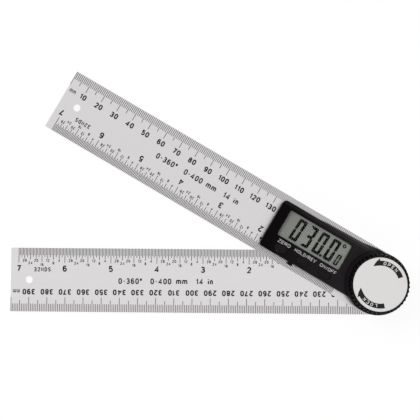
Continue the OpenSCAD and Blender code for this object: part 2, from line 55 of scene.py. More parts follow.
def turned(points, angle):
    """Points turned about the Z axis: x' = x cos a - y sin a, y' = x sin a + y cos a."""
    c, s = math.cos(angle), math.sin(angle)
    turn = np.array([[c, s, 0.0], [-s, c, 0.0], [0.0, 0.0, 1.0]])
    return np.asarray(points, float) @ turn


def in_scene(name, data):
    """A new object of the scene, at the origin."""
    thing = bpy.data.objects.new(name, data)
    bpy.context.scene.collection.objects.link(thing)
    return thing


def cleaned(mesh, reach, flat=None):
    """Merges points closer than reach, joins faces flat to an angle, and turns all outwards."""
    work = bmesh.new()
    work.from_mesh(mesh)
    bmesh.ops.remove_doubles(work, verts=work.verts, dist=reach)
    if flat is not None:
        bmesh.ops.dissolve_limit(work, angle_limit=math.radians(flat), verts=work.verts,
                                 edges=work.edges, use_dissolve_boundaries=False)
    bmesh.ops.recalc_face_normals(work, faces=work.faces)
    work.to_mesh(mesh)
    work.free()


def riding(name, mesh, body, finish, smooth=None):
    """The object of a mesh, with its finish, riding on a body; smooth is in degrees."""
    mesh.materials.clear()
    mesh.materials.append(finish)
    thing = in_scene(name, mesh)
    if smooth is not None:
        mesh.polygons.foreach_set("use_smooth", np.ones(len(mesh.polygons), bool))
        mesh.set_sharp_from_angle(angle=math.radians(smooth))
    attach(thing, body)
    return thing


def piece(name, points, faces, body, finish, smooth=None):
    """One finished piece from points in mm and faces, with its place in its mesh."""
    mesh = bpy.data.meshes.new(name)
    mesh.from_pydata((np.asarray(points) * MM).tolist(), [], [list(f) for f in faces])
    cleaned(mesh, 1e-7)
    return riding(name, mesh, body, finish, smooth)


def wrapped_faces(rows, columns):
    """Quads of a grid of rows by columns whose columns run round and close on themselves."""
    r, c = np.meshgrid(np.arange(rows - 1), np.arange(columns), indexing="ij")
    after = (c + 1) % columns
    quads = np.stack([r * columns + c, r * columns + after,
                      (r + 1) * columns + after, (r + 1) * columns + c], -1)
    return quads.reshape(-1, 4).tolist()


def rounded_loop(hx, hy, r, place, per_corner):
    """Points round a rectangle with rounded corners, of half sizes hx, hy and radius r.

    A point is (sx (hx - r) + r cos t, sy (hy - r) + r sin t), where t runs round once and
    sx, sy are the signs of its quarter. With hx, hy and r as columns, each row is a loop.
    """
    t = np.linspace(0.0, math.pi / 2, per_corner)
    t = np.concatenate([t + k * math.pi / 2 for k in range(4)])
    sx = np.repeat([1.0, -1.0, -1.0, 1.0], per_corner)
    sy = np.repeat([1.0, 1.0, -1.0, -1.0], per_corner)
    return (sx * (hx - r) + r * np.cos(t) + place[0],
            sy * (hy - r) + r * np.sin(t) + place[1])


def rounded_solid(rows, place, per_corner):
    """A closed solid on the upper rule, of stacked rounded rectangles.

    A row is (half x, half y, corner radius, z). The first and last loops are capped.
    """
    rows = np.asarray(rows, float)
    hx, hy, r, z = (rows[:, k:k + 1] for k in range(4))
    x, y = rounded_loop(hx, hy, r, place, per_corner)
    grid = np.stack([x, y, z + 0.0 * x], -1)
    count = 4 * per_corner
    faces = wrapped_faces(len(rows), count)
    faces.append(list(range(count))[::-1])
    faces.append(list(range((len(rows) - 1) * count, len(rows) * count)))
    return turned(grid.reshape(-1, 3), OPENING), faces


def lathed_solid(profile, steps, depth=None):
    """A profile of (r, z, share) carried round the Z axis.

    Radius at angle t is r - share * depth(t), so share says how much of the rib pattern
    that profile point feels. The profile starts and ends on the axis, which closes it.
    """
    profile = np.asarray(profile, float)
    t = np.linspace(0.0, 2 * math.pi, steps, endpoint=False)
    cut = depth(t) if depth is not None else np.zeros(steps)
    r = profile[:, :1] - profile[:, 2:3] * cut
    grid = np.stack([r * np.cos(t), r * np.sin(t), profile[:, 1:2] + 0.0 * r], -1)
    return grid.reshape(-1, 3), wrapped_faces(len(profile), steps)


def quarter(r0, z0, radius, start, stop, count):
    """Smooth profile points on an arc: (r0 + radius cos t, z0 + radius sin t), t in degrees."""
    t = np.radians(np.linspace(start, stop, count))
    return [(r0 + radius * math.cos(a), z0 + radius * math.sin(a), 0.0) for a in t]


def softened(name, source, body, finish, width):
    """A copy of a CAD node with its loose triangles merged and its sharp edges rounded."""
    mesh = nodes[source].data.copy()
    mesh.name = name
    cleaned(mesh, 2e-6, 0.5)
    thing = riding(name, mesh, body, finish, 35)
    rounding = thing.modifiers.new("rounding", "BEVEL")
    rounding.width = width * MM
    rounding.segments = 2
    rounding.limit_method = "ANGLE"
    rounding.angle_limit = math.radians(28)
    rounding.use_clamp_overlap = True
    rounding.harden_normals = True
    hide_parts(source)


# ---------------------------------------------------------------- marks


class Marks:
    """Flat marks of quads, each a thin closed prism sunk a little in the face it lies on."""

    def __init__(self, z, proud=0.015, sunk=0.01):
        self.levels = (z - sunk, z + proud)
        self.points, self.faces, self.count = [], [], 0

    def add(self, flat, tops, rims):
        """flat: (n, 2) points; tops: faces seen from above, anticlockwise; rims: outlines."""
        n = len(flat)
        low, high = self.levels
        self.points += [np.column_stack([flat, np.full(n, low)]),
                        np.column_stack([flat, np.full(n, high)])]
        for top in tops:
            top = np.asarray(top) + self.count
            self.faces += [(top + n).tolist(), top[::-1].tolist()]
        for rim in rims:
            a = np.asarray(rim) + self.count
            b = np.roll(a, -1)
            self.faces += np.stack([a, b, b + n, a + n], -1).tolist()
        self.count += 2 * n

    def bars(self, x0, x1, y0, y1):
        """Upright rectangles from (x0, y0) to (x1, y1), one for each entry of the arrays."""
        x0, x1, y0, y1 = np.broadcast_arrays(x0, x1, y0, y1)
        n = len(x0)
        flat = np.stack([np.stack([x0, y0], -1), np.stack([x1, y0], -1),
                         np.stack([x1, y1], -1), np.stack([x0, y1], -1)], 1).reshape(-1, 2)
        quads = np.arange(4 * n).reshape(n, 4)
        self.add(flat, quads, list(quads))

    def ribbon(self, line, width, closed=False):
        """A line of points widened by half the width to both sides along its own normal."""
        line = np.asarray(line, float)
        step = np.diff(np.vstack([line, line[:1]]) if closed else line, axis=0)
        step /= np.linalg.norm(step, axis=1, keepdims=True)
        if closed:
            before, after = np.roll(step, 1, axis=0), step
        else:
            before, after = np.vstack([step[:1], step]), np.vstack([step, step[-1:]])
        along = before + after
        along /= np.maximum(np.linalg.norm(along, axis=1, keepdims=True), 1e-9)
        stretch = 1.0 / np.clip((along * after).sum(1, keepdims=True), 0.55, 1.0)
        side = np.stack([-along[:, 1], along[:, 0]], -1) * stretch * width / 2
        n = len(line)
        flat = np.vstack([line + side, line - side])
        i = np.arange(n if closed else n - 1)
        j = (i + 1) % n
        quads = np.stack([i + n, j + n, j, i], -1)
        if closed:
            rims = [np.arange(n)[::-1], np.arange(n) + n]
        else:
            rims = [np.concatenate([np.arange(n) + n, np.arange(n)[::-1]])]
        self.add(flat, quads, rims)

    def outline(self, corners, mirrored=False):
        """A flat shape from its corners in order, anticlockwise unless mirrored."""
        corners = np.asarray(corners, float)
        if mirrored:
            corners = corners[::-1]
        order = list(range(len(corners)))
        self.add(corners, [order], [order])

    def word(self, text, centre, height, width, stroke, turn=0.0, gap=0.3, fine=6, bend=None):
        """Characters of drawn strokes, centred on a point and turned by an angle in degrees.

        With bend = radius, the line of writing is wrapped round the origin at that radius:
        a point (u, v) goes to (radius + v) (sin(u / radius), cos(u / radius)).
        """
        sizes = [WIDTHS.get(c, 1.0) * width for c in text]
        at = -(sum(sizes) + gap * (len(text) - 1)) / 2
        a = math.radians(turn)
        for c, wide in zip(text, sizes):
            for parts, closed in STROKES.get(c, []):
                line = path(parts, fine)
                u = at + stroke / 2 + line[:, 0] * (wide - stroke)
                v = -height / 2 + stroke / 2 + line[:, 1] * (height - stroke)
                if bend:
                    u, v = (bend + v) * np.sin(u / bend), (bend + v) * np.cos(u / bend)
                spot = np.stack([centre[0] + u * math.cos(a) - v * math.sin(a),
                                 centre[1] + u * math.sin(a) + v * math.cos(a)], -1)
                self.ribbon(spot, stroke, closed)
            at += wide + gap

    def build(self, name, body, finish, slot, angle=0.0):
        """The piece made of all marks so far."""
        return piece(name, turned(np.vstack(self.points), angle), self.faces, body, finish)


def path(parts, fine):
    """The points of one stroke: corners (x, y), or arcs (cx, cy, rx, ry, start, stop)."""
    out = []
    for p in parts:
        if len(p) == 2:
            out.append(np.array([p], float))
        else:
            count = max(3, int(round(abs(p[5] - p[4]) / 90.0 * fine)) + 1)
            t = np.radians(np.linspace(p[4], p[5], count))
            out.append(np.stack([p[0] + p[2] * np.cos(t), p[1] + p[3] * np.sin(t)], -1))
    line = np.vstack(out)
    keep = np.r_[True, np.linalg.norm(np.diff(line, axis=0), axis=1) > 1e-6]
    return line[keep]


# How wide a character is beside the others
WIDTHS = {"1": 0.66, "4": 1.12, "/": 0.55, " ": 0.8, "m": 1.45, "i": 0.3, "n": 0.85,
          "-": 0.7, "\u00b0": 0.6, "L": 0.9, "E": 0.92, "F": 0.88}

# Strokes of each character in a box one wide and one high: (parts, closed)
ROUND = ([(0.5, 0.7, 0.5, 0.3, 0, 180), (0.5, 0.3, 0.5, 0.3, 180, 360)], True)
SIX = [([(0.5, 0.3, 0.5, 0.3, 179, -180)], True),
       ([(0.5, 0.68, 0.5, 0.32, 35, 180), (0, 0.3)], False)]
STROKES = {
    "0": [ROUND], "O": [ROUND],
    "1": [([(0, 0.74), (1, 1), (1, 0)], False)],
    "2": [([(0.5, 0.72, 0.5, 0.28, 165, -35), (0, 0), (1, 0)], False)],
    "3": [([(0.47, 0.75, 0.46, 0.25, 155, -88), (0.47, 0.25, 0.53, 0.25, 88, -160)], False)],
    "4": [([(0.74, 0), (0.74, 1), (0, 0.26), (1, 0.26)], False)],
    "5": [([(0.93, 1), (0.12, 1), (0.04, 0.5), (0.47, 0.32, 0.53, 0.32, 125, -150)], False)],
    "6": SIX,
    "7": [([(0, 1), (1, 1), (0.36, 0)], False)],
    "8": [([(0.5, 0.76, 0.42, 0.24, 0, 345)], True), ([(0.5, 0.27, 0.5, 0.27, 0, 345)], True)],
    "9": [([(0.5, 0.7, 0.5, 0.3, 179, -180)], True),
          ([(0.5, 0.32, 0.5, 0.32, 215, 360), (1, 0.7)], False)],
    "/": [([(0, 0), (1, 1)], False)],
    "-": [([(0.1, 0.48), (0.9, 0.48)], False)],
    "\u00b0": [([(0.5, 0.84, 0.5, 0.16, 0, 345)], True)],
    "C": [([(0.5, 0.7, 0.5, 0.3, 20, 180), (0.5, 0.3, 0.5, 0.3, 180, 340)], False)],
    "D": [([(0, 0), (0, 1), (0.4, 1), (0.4, 0.5, 0.6, 0.5, 89, -89), (0.4, 0)], True)],
    "E": [([(1, 1), (0, 1), (0, 0), (1, 0)], False), ([(0.05, 0.52), (0.85, 0.52)], False)],
    "F": [([(1, 1), (0, 1), (0, 0)], False), ([(0.05, 0.5), (0.85, 0.5)], False)],
    "H": [([(0, 0), (0, 1)], False), ([(1, 0), (1, 1)], False),
          ([(0.05, 0.5), (0.95, 0.5)], False)],
    "K": [([(0, 0), (0, 1)], False), ([(1, 1), (0.05, 0.4)], False),
          ([(0.32, 0.58), (1, 0)], False)],
    "L": [([(0, 1), (0, 0), (1, 0)], False)],
    "N": [([(0, 0), (0, 1), (1, 0), (1, 1)], False)],
    "P": [([(0, 0), (0, 1), (0.5, 1), (0.5, 0.73, 0.5, 0.27, 89, -89), (0.02, 0.46)], False)],
    "R": [([(0, 0), (0, 1), (0.5, 1), (0.5, 0.74, 0.48, 0.26, 89, -89), (0.02, 0.48)], False),
          ([(0.5, 0.48), (1, 0)], False)],
    "S": [([(0.5, 0.75, 0.48, 0.25, 20, 268), (0.5, 0.25, 0.5, 0.25, 88, -160)], False)],
    "V": [([(0, 1), (0.5, 0), (1, 1)], False)],
    "Z": [([(0, 1), (1, 1), (0, 0), (1, 0)], False)],
    "i": [([(0.5, 0), (0.5, 0.7)], False), ([(0.5, 0.9), (0.5, 1.05)], False)],
    "m": [([(0, 0), (0, 0.78)], False),
          ([(0.25, 0.5, 0.25, 0.25, 170, 0), (0.5, 0)], False),
          ([(0.75, 0.5, 0.25, 0.25, 170, 0), (1, 0)], False)],
    "n": [([(0, 0), (0, 0.78)], False), ([(0.5, 0.5, 0.5, 0.25, 170, 0), (1, 0)], False)],
}

# ---------------------------------------------------------------- finishes


def shader(name):
    """An empty node material and its node tree."""
    made = bpy.data.materials.new(name)
    made.use_nodes = True
    made.node_tree.nodes.clear()
    return made, made.node_tree


def step(tree, kind, settings=None, **inputs):
    """Adds a node. Inputs are numbers, colours or sockets.

    In an input's name an underscore stands for a space, and i3 is the socket number 3.
    """
    made = tree.nodes.new(kind)
    for key, value in (settings or {}).items():
        setattr(made, key, value)
    for key, value in inputs.items():
        socket = made.inputs[int(key[1:]) if key[0] == "i" and key[1:].isdigit()
                             else key.replace("_", " ")]
        if isinstance(value, bpy.types.NodeSocket):
            tree.links.new(value, socket)
        else:
            socket.default_value = value
    return made


def maths(tree, operation, *values, clamp=False):
    """One Math node on numbers or sockets, and its result."""
    made = step(tree, "ShaderNodeMath", {"operation": operation, "use_clamp": clamp},
                **{f"i{k}": v for k, v in enumerate(values)})
    return made.outputs[0]


def blend(tree, share, a, b, kind="MIX"):
    """A colour mix, and its result."""
    made = step(tree, "ShaderNodeMix", {"data_type": "RGBA", "blend_type": kind},
                i0=share, i6=a, i7=b)
    return made.outputs[2]


def ramp(tree, value, low, high, out_low=0.0, out_high=1.0):
    """Maps a value from one range to another, held at its ends."""
    made = step(tree, "ShaderNodeMapRange", {"clamp": True}, Value=value, From_Min=low,
                From_Max=high, To_Min=out_low, To_Max=out_high)
    return made.outputs[0]


def between(tree, value, rise, risen, fall, fallen):
    """One where a value lies between two slopes, and nothing outside them."""
    return maths(tree, "MULTIPLY", ramp(tree, value, rise, risen),
                 ramp(tree, value, fall, fallen, 1.0, 0.0))


def noise(tree, spot, scale, detail=2.0, **more):
    """A noise value of a place."""
    return step(tree, "ShaderNodeTexNoise", Vector=spot, Scale=scale, Detail=detail, **more
                ).outputs[0]


def off_axis(tree, x, y):
    """Distance from the Z axis: the root of x x + y y."""
    return maths(tree, "SQRT", maths(tree, "ADD", maths(tree, "MULTIPLY", x, x),
                                     maths(tree, "MULTIPLY", y, y)))


def grey(tree, value):
    """A colour whose three parts are one value."""
    return step(tree, "ShaderNodeCombineColor", Red=value, Green=value, Blue=value).outputs[0]


def group(name, inputs, outputs):
    """An empty shader node group with named inputs and outputs."""
    tree = bpy.data.node_groups.new(name, "ShaderNodeTree")
    for label, kind, value in inputs:
        socket = tree.interface.new_socket(name=label, in_out="INPUT", socket_type=kind)
        if value is not None:
            socket.default_value = value
    for label, kind in outputs:
        tree.interface.new_socket(name=label, in_out="OUTPUT", socket_type=kind)
    return (tree, tree.nodes.new("NodeGroupInput").outputs,
            tree.nodes.new("NodeGroupOutput").inputs)


FLOAT, VECTOR = "NodeSocketFloat", "NodeSocketVector"


def make_brushing():
    """Fine lines along X: noise stretched a hundredfold along the grain, plus broad clouds."""
    tree, put, out = group("brushed_grain",
                           [("Vector", VECTOR, None), ("Scale", FLOAT, 1.0)],
                           [("Lines", FLOAT), ("Clouds", FLOAT)])
    thin = step(tree, "ShaderNodeMapping", Vector=put["Vector"], Scale=(60.0, 6500.0, 900.0))
    wide = step(tree, "ShaderNodeMapping", Vector=put["Vector"], Scale=(25.0, 1700.0, 300.0))
    lines = maths(tree, "ADD",
                  maths(tree, "MULTIPLY", noise(tree, thin.outputs[0], put["Scale"]), 0.6),
                  maths(tree, "MULTIPLY", noise(tree, wide.outputs[0], put["Scale"], 1.0), 0.4))
    tree.links.new(lines, out["Lines"])
    tree.links.new(noise(tree, put["Vector"], 38.0), out["Clouds"])
    return tree


def make_turning():
    """Rings left by a lathe: noise of the distance from the Z axis plus the height."""
    tree, put, out = group("turned_rings", [("Vector", VECTOR, None), ("Pitch", FLOAT, 5200.0)],
                           [("Rings", FLOAT)])
    x, y, z = step(tree, "ShaderNodeSeparateXYZ", Vector=put["Vector"]).outputs
    rings = step(tree, "ShaderNodeTexNoise", {"noise_dimensions": "1D"},
                 W=maths(tree, "ADD", maths(tree, "MULTIPLY", off_axis(tree, x, y), put["Pitch"]),
                         maths(tree, "MULTIPLY", z, put["Pitch"])), Scale=1.0, Detail=2.0)
    tree.links.new(rings.outputs[0], out["Rings"])
    return tree


def make_moulding():
    """Spark-eroded mould texture: a fine cell pattern on top of fine noise, and smears."""
    tree, put, out = group("moulded_grain", [("Vector", VECTOR, None), ("Size", FLOAT, 0.35)],
                           [("Height", FLOAT), ("Smears", FLOAT)])
    scale = maths(tree, "DIVIDE", 1000.0, put["Size"])
    cells = step(tree, "ShaderNodeTexVoronoi", Vector=put["Vector"], Scale=scale)
    grains = noise(tree, put["Vector"], scale)
    tree.links.new(maths(tree, "ADD", maths(tree, "MULTIPLY", cells.outputs["Distance"], 0.5),
                         maths(tree, "MULTIPLY", grains, 0.5)), out["Height"])
    tree.links.new(noise(tree, put["Vector"], 70.0, 3.0, Distortion=0.6), out["Smears"])
    return tree


def make_edges():
    """Where handling rubs an edge: one minus the dot of the true and a widened normal."""
    tree, put, out = group("edge_wear", [("Vector", VECTOR, None), ("Radius", FLOAT, 0.0003),
                                        ("Amount", FLOAT, 1.0)],
                           [("Mask", FLOAT)])
    wide = step(tree, "ShaderNodeBevel", {"samples": 4}, Radius=put["Radius"])
    true = step(tree, "ShaderNodeNewGeometry")
    close = step(tree, "ShaderNodeVectorMath", {"operation": "DOT_PRODUCT"},
                 i0=wide.outputs[0], i1=true.outputs["Normal"])
    patch = noise(tree, put["Vector"], 420.0, 3.0)
    bare = maths(tree, "MULTIPLY", maths(tree, "SUBTRACT", 1.0, close.outputs["Value"]), 4.0)
    tree.links.new(maths(tree, "MULTIPLY", maths(tree, "MULTIPLY", bare, put["Amount"]),
                         ramp(tree, patch, 0.35, 0.65), clamp=True), out["Mask"])
    return tree


BRUSHING, TURNING, MOULDING, EDGES = (make_brushing(), make_turning(), make_moulding(),
                                      make_edges())


def place_group(tree, made, **inputs):
    """One shared effect placed in a material."""
    return step(tree, "ShaderNodeGroup", {"node_tree": made}, **inputs).outputs


def where(tree, angle=0.0, centre=(0.0, 0.0, 0.0)):
    """Object coordinates, measured from a centre in mm and turned by an angle."""
    spot = step(tree, "ShaderNodeTexCoord").outputs["Object"]
    if angle or any(centre):
        moved = step(tree, "ShaderNodeVectorMath", {"operation": "SUBTRACT"}, i0=spot,
                     i1=tuple(c * MM for c in centre)).outputs[0]
        spot = step(tree, "ShaderNodeMapping", Vector=moved, Rotation=(0.0, 0.0, angle)
                    ).outputs[0]
    return spot


def finish_with(tree, normal=None, **sockets):
    """The Principled shader and the output, with values set on its own sockets."""
    look = step(tree, "ShaderNodeBsdfPrincipled",
                **({"Normal": normal} if normal is not None else {}), **sockets)
    out = step(tree, "ShaderNodeOutputMaterial", Surface=look.outputs[0])
    return look, out


def relief(tree, height, distance, strength=0.5):
    """A Bump node from a height that varies over the surface."""
    return step(tree, "ShaderNodeBump", Height=height, Distance=distance, Strength=strength
                ).outputs[0]


def tone(tree, colour, value, spread):
    """A colour made lighter and darker by a value about one half: c (1 + spread (v - 1/2))."""
    share = ramp(tree, value, 0.0, 1.0, 1 - spread / 2, 1 + spread / 2)
    return blend(tree, 1.0, (*colour, 1.0), grey(tree, share), "MULTIPLY")


def brushed_steel(name, angle, colour=(0.71, 0.69, 0.695)):
    """Satin stainless, rubbed along the rule."""
    made, tree = shader(name)
    lines, clouds = place_group(tree, BRUSHING, Vector=where(tree, -angle), Scale=1.0)
    worn = place_group(tree, EDGES, Vector=where(tree), Radius=0.0002, Amount=0.5)[0]
    base = tone(tree, colour, lines, 0.12)
    base = blend(tree, worn, base, (0.83, 0.82, 0.82, 1.0))
    rough = maths(tree, "ADD", ramp(tree, lines, 0.25, 0.75, 0.19, 0.27),
                  ramp(tree, clouds, 0.3, 0.7, -0.02, 0.03))
    finish_with(tree, relief(tree, lines, 2e-6, 0.35), Base_Color=base, Metallic=1.0,
                Roughness=rough)
    return made


def turned_metal(name, colour, rough, pitch=5200.0, centre=(0.0, 0.0, 0.0)):
    """Metal turned on a lathe, with fine rings about its own axis."""
    made, tree = shader(name)
    rings = place_group(tree, TURNING, Vector=where(tree, 0.0, centre), Pitch=pitch)[0]
    worn = place_group(tree, EDGES, Vector=where(tree), Radius=0.00015, Amount=0.5)[0]
    base = blend(tree, worn, tone(tree, colour, rings, 0.14),
                 (*(min(1.0, c * 1.15) for c in colour), 1.0))
    finish_with(tree, relief(tree, rings, 2e-6, 0.4), Base_Color=base, Metallic=1.0,
                Roughness=ramp(tree, rings, 0.2, 0.8, rough - 0.06, rough + 0.06))
    return made


def moulded(name, colour, rough, grain=0.35, depth=6e-6, level=0.25, wear=0.25):
    """Moulded plastic with a fine mould texture, greasy smears and rubbed edges."""
    made, tree = shader(name)
    height, smears = place_group(tree, MOULDING, Vector=where(tree), Size=grain)
    worn = place_group(tree, EDGES, Vector=where(tree), Radius=0.0003, Amount=wear)[0]
    base = blend(tree, worn, tone(tree, colour, smears, 0.35),
                 (*(c * 2.2 + 0.01 for c in colour), 1.0))
    finish_with(tree, relief(tree, height, depth, 0.6), Base_Color=base,
                Roughness=ramp(tree, smears, 0.3, 0.7, rough - 0.05, rough + 0.07),
                Specular_IOR_Level=level)
    return made


def case_plastic(name):
    """Housing plastic: nearly black at the far end, a little lighter towards the neck by painted
    sheen.

    Along the long side lie a painted highlight line, standing in for a faint raised lip,
    and a painted sheen on the ledge, both found from the place in the rule's own directions.
    """
    made, tree = shader(name)
    height, smears = place_group(tree, MOULDING, Vector=where(tree), Size=0.35)
    worn = place_group(tree, EDGES, Vector=where(tree), Radius=0.0003, Amount=0.2)[0]
    x, y = step(tree, "ShaderNodeSeparateXYZ", Vector=where(tree, -OPENING)).outputs[:2]
    # Painted sheen: the base colour is ramped from nearly black at the far end to lighter towards
    # the neck.
    base = blend(tree, ramp(tree, x, -0.062, -0.030), (0.0012, 0.0007, 0.0009, 1.0),
                 (0.0108, 0.0092, 0.0102, 1.0))
    base = blend(tree, ramp(tree, x, -0.026, -0.019, 0.0, 0.8), base,
                 (0.016, 0.0125, 0.015, 1.0))
    # Painted highlight: a lighter band along the long side stands in for light on a faint raised
    # lip, stronger towards the neck.
    line = between(tree, y, 0.0119, 0.0126, 0.0129, 0.0134)
    base = blend(tree, maths(tree, "MULTIPLY", line, ramp(tree, x, -0.062, -0.03, 0.5, 0.9)),
                 base, (0.022, 0.021, 0.021, 1.0))
    # Painted sheen: the ledge along the long side is given a lighter tone where light falls on
    # its slope.
    painted_ledge_sheen = maths(tree, "MULTIPLY", ramp(tree, y, 0.0134, 0.0139),
                  between(tree, x, -0.054, -0.046, -0.016, -0.008))
    base = blend(tree, painted_ledge_sheen, base, (0.058, 0.056, 0.056, 1.0))
    base = blend(tree, 1.0, base, grey(tree, ramp(tree, smears, 0.3, 0.7, 0.85, 1.2)),
                 "MULTIPLY")
    base = blend(tree, worn, base, (0.02, 0.019, 0.02, 1.0))
    finish_with(tree, relief(tree, height, 6e-6, 0.6), Base_Color=base,
                Roughness=ramp(tree, smears, 0.3, 0.7, 0.36, 0.48), Specular_IOR_Level=0.04)
    return made


def printed(name, colour, rough=0.5, level=0.3):
    """Screen-printed or etched ink, a little uneven."""
    made, tree = shader(name)
    patch = noise(tree, where(tree), 1400.0, 3.0)
    finish_with(tree, relief(tree, patch, 3e-6, 0.4),
                Base_Color=tone(tree, colour, patch, 0.12),
                Roughness=ramp(tree, patch, 0.3, 0.7, rough - 0.05, rough + 0.08),
                Specular_IOR_Level=level)
    return made


def clear_plastic(name):
    """Clear acrylic window: it lets light through to the display, also straight shadow rays."""
    made, tree = shader(name)
    haze = noise(tree, where(tree), 220.0, 3.0)
    look, out = finish_with(tree, relief(tree, haze, 4e-7, 0.3),
                            Base_Color=(1.0, 1.0, 1.0, 1.0), Transmission_Weight=1.0, IOR=1.13,
                            Roughness=ramp(tree, haze, 0.3, 0.8, 0.0, 0.05))
    through = step(tree, "ShaderNodeBsdfTransparent")
    rays = step(tree, "ShaderNodeLightPath")
    mix = step(tree, "ShaderNodeMixShader", i0=rays.outputs["Is Shadow Ray"],
               i1=look.outputs[0], i2=through.outputs[0])
    tree.links.new(mix.outputs[0], out.inputs["Surface"])
    return made


def display_film(name):
    """Grey reflective display: a faint pixel weave, darker towards its far upper corner."""
    made, tree = shader(name)
    spot = where(tree, -OPENING)
    weave = noise(tree, spot, 2600.0, 1.0)
    broad = noise(tree, spot, 60.0)
    base = tone(tree, (0.150, 0.156, 0.141), weave, 0.06)
    base = blend(tree, ramp(tree, broad, 0.3, 0.7, 0.0, 0.3), base, (0.168, 0.177, 0.162, 1.0))
    x, y = step(tree, "ShaderNodeSeparateXYZ", Vector=spot).outputs[:2]
    corner = maths(tree, "SUBTRACT", y, x)
    base = blend(tree, ramp(tree, corner, 0.040, 0.070, 0.0, 0.6), base,
                 (0.112, 0.109, 0.097, 1.0))
    finish_with(tree, Base_Color=base, Specular_IOR_Level=0.1,
                Roughness=ramp(tree, weave, 0.2, 0.8, 0.45, 0.6))
    return made


def board_laminate(name):
    """Green circuit board: solder mask over a grid of tracks and round pads."""
    made, tree = shader(name)
    spot = where(tree, -OPENING)
    tracks = step(tree, "ShaderNodeTexBrick", {"offset": 0.37, "squash": 1.6}, Vector=spot,
                  Color1=(0, 0, 0, 1), Color2=(0, 0, 0, 1), Mortar=(1, 1, 1, 1), Scale=420.0,
                  Mortar_Size=0.035, Mortar_Smooth=0.2)
    pads = step(tree, "ShaderNodeTexVoronoi", Vector=spot, Scale=300.0, Randomness=0.6)
    pad = ramp(tree, pads.outputs["Distance"], 0.13, 0.17, 1.0, 0.0)
    line = step(tree, "ShaderNodeSeparateColor", Color=tracks.outputs[0]).outputs[0]
    base = blend(tree, line, (0.008, 0.075, 0.032, 1), (0.02, 0.16, 0.07, 1))
    base = blend(tree, pad, base, (0.62, 0.5, 0.24, 1))
    finish_with(tree, relief(tree, maths(tree, "ADD", line, pad), 2e-5, 0.5), Base_Color=base,
                Metallic=pad, Roughness=ramp(tree, pad, 0.0, 1.0, 0.32, 0.28))
    return made


def sensor_laminate(name, teeth):
    """Sensor disc: a band of gold fingers round the axis on dark green laminate."""
    made, tree = shader(name)
    x, y = step(tree, "ShaderNodeSeparateXYZ", Vector=where(tree)).outputs[:2]
    around = maths(tree, "ARCTAN2", y, x)
    wave = maths(tree, "SINE", maths(tree, "MULTIPLY", around, float(teeth)))
    band = between(tree, off_axis(tree, x, y), 0.0102, 0.0103, 0.0135, 0.0136)
    gold = maths(tree, "MULTIPLY", ramp(tree, wave, -0.1, 0.1), band)
    finish_with(tree, relief(tree, gold, 2e-5, 0.5),
                Base_Color=blend(tree, gold, (0.012, 0.08, 0.035, 1), (0.75, 0.58, 0.27, 1)),
                Metallic=gold, Roughness=ramp(tree, gold, 0.0, 1.0, 0.4, 0.25))
    return made


def striped_rubber(name):
    """Connector strip: thin dark and pink layers across its length."""
    made, tree = shader(name)
    parts = step(tree, "ShaderNodeSeparateXYZ", Vector=where(tree, -OPENING))
    wave = maths(tree, "SINE", maths(tree, "MULTIPLY", parts.outputs[0], 31000.0))
    layer = ramp(tree, wave, -0.3, 0.3)
    finish_with(tree, relief(tree, layer, 1e-5, 0.3),
                Base_Color=blend(tree, layer, (0.55, 0.2, 0.25, 1), (0.02, 0.02, 0.02, 1)),
                Roughness=ramp(tree, layer, 0.0, 1.0, 0.6, 0.5))
    return made


def label_film(name):
    """Satin sticker: pale grey with a faint emboss and broad patches a little warmer."""
    made, tree = shader(name)
    patch = noise(tree, where(tree), 2600.0)
    broad = noise(tree, where(tree), 50.0)
    base = blend(tree, ramp(tree, broad, 0.3, 0.7),
                 tone(tree, (0.665, 0.65, 0.65), patch, 0.05), (0.66, 0.65, 0.63, 1.0))
    finish_with(tree, relief(tree, patch, 3e-6, 0.4), Base_Color=base,
                Roughness=ramp(tree, patch, 0.2, 0.8, 0.38, 0.5), Specular_IOR_Level=0.3)
    return made


lower_steel = brushed_steel("lower_rule_steel", 0.0)
upper_steel = brushed_steel("upper_rule_steel", OPENING, (0.675, 0.655, 0.66))
bright_steel = turned_metal("turned_steel_bright", (0.62, 0.62, 0.63), 0.28)
spring_steel = turned_metal("spring_steel_grey", (0.45, 0.45, 0.47), 0.35, 4200.0)
machined_brass = turned_metal("brass_machined", (0.78, 0.56, 0.25), 0.26)
case_black = case_plastic("housing_black_plastic")
knob_black = moulded("knob_black_plastic", (0.0034, 0.0031, 0.0034), 0.36, 0.3, level=0.08)
key_black = moulded("button_black_plastic", (0.0090, 0.0078, 0.0088), 0.40, 0.25, 3e-6, 0.05)
tray_black = moulded("tray_black_plastic", (0.004, 0.0037, 0.004), 0.45, level=0.08)
bush_white = moulded("bush_white_nylon", (0.80, 0.80, 0.77), 0.42, 0.5, 5e-6, 0.4, 0.0)
carrier_black = moulded("carrier_black_nylon", (0.02, 0.02, 0.022), 0.5, 0.5, 5e-6, 0.3)
scale_ink = printed("etched_scale_black", (0.014, 0.013, 0.013), 0.55, level=0.15)
white_ink = printed("housing_words_white", (0.84, 0.84, 0.84), 0.5)
band_ink = printed("label_band_grey", (0.017, 0.0145, 0.0155), 0.5, level=0.1)
label_ink = printed("label_words_pale", (0.68, 0.68, 0.68), 0.5)
display_ink = printed("display_segment_black", (0.0025, 0.003, 0.0025), 0.5, level=0.02)

# ---------------------------------------------------------------- CAD nodes that stay

